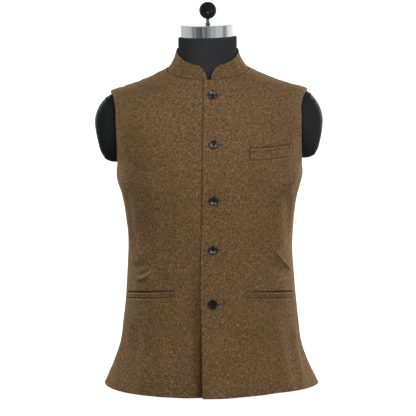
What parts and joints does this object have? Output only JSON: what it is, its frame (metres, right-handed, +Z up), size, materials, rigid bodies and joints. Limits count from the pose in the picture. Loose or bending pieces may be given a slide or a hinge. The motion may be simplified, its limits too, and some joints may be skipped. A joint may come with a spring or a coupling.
{
  "type": "suit waistcoat on a limbless dress form",
  "caption": "Sleeveless stand-collar waistcoat in brown tweed, buttoned down the front over a black torso form with a metal neck cap and a ball finial.",
  "frame": {"origin": "middle of the dress form's flat base, on the surface it stands on, below the centre of the neck", "axes": "+Z up, -Y out of the front of the waistcoat, +X towards the wearer's left"},
  "size_m": [0.4666, 0.2928, 0.7962],
  "materials": {
    "tweed": "matte brown heathered wool tweed",
    "form_jersey": "matte black stretch jersey over a firm torso",
    "button_horn": "dark blue-black polished button",
    "chrome": "polished chrome neck cap and stem",
    "black_gloss": "high-gloss black ball"
  },
  "bodies": {
    "root": {"front_left": "tweed", "front_right": "tweed", "back": "tweed", "collar": "tweed", "welt_chest": "tweed", "welt_left": "tweed", "welt_right": "tweed", "button_1": "button_horn", "button_2": "button_horn", "button_3": "button_horn", "button_4": "button_horn", "button_5": "button_horn", "form_body": "form_jersey", "arm_cap_left": "form_jersey", "arm_cap_right": "form_jersey", "neck_cap": "chrome", "finial_stem": "chrome", "finial_ball": "black_gloss"}
  },
  "joints": []
}
